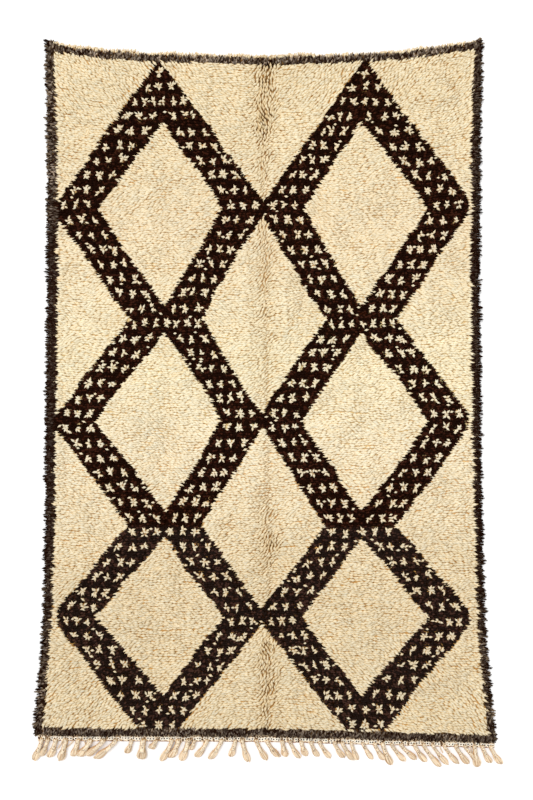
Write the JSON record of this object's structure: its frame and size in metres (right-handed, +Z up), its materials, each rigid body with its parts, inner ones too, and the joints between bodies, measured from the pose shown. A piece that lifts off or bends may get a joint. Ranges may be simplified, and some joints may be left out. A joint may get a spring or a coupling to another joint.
{
  "type": "beni ourain rug",
  "caption": "Hand-knotted shaggy wool pile rug lying flat, cream ground with a dark diamond lattice and border, a knotted warp fringe at one end.",
  "frame": {"origin": "on the floor under the middle of the rug, on its underside", "axes": "+Z up out of the pile, +Y along the rug's length towards its plain end, -Y towards the fringe, +X across the width"},
  "size_m": [1.7044, 2.6524, 0.0273],
  "materials": {
    "pile": "undyed hand-spun wool pile, cream with a dark brown to charcoal lattice and border",
    "warp_wool": "undyed plied wool warps, weft-faced end strip with knotted fringe locks"
  },
  "bodies": {
    "root": {"rug": "pile", "fringe": "warp_wool"}
  },
  "joints": []
}
